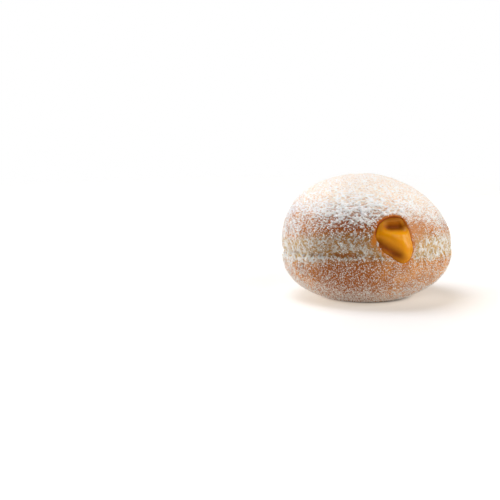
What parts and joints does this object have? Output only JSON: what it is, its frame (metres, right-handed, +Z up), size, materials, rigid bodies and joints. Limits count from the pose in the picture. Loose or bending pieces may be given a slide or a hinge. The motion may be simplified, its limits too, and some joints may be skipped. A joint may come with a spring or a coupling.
{
  "type": "mini filled doughnut",
  "caption": "Small round fried doughnut with a pale collar round its middle and caramel cream that fills its inside and swells out of a piping hole in its side.",
  "frame": {"origin": "middle of the footprint, on the surface that the doughnut stands on", "axes": "+Z up from the flat foot to the crown; the piping hole faces -Y, turned about 20 degrees towards +X"},
  "size_m": [0.056, 0.0552, 0.0406],
  "materials": {
    "dough": "matte",
    "filling": "glossy"
  },
  "bodies": {
    "root": {"dough": "dough", "filling": "filling"}
  },
  "joints": []
}
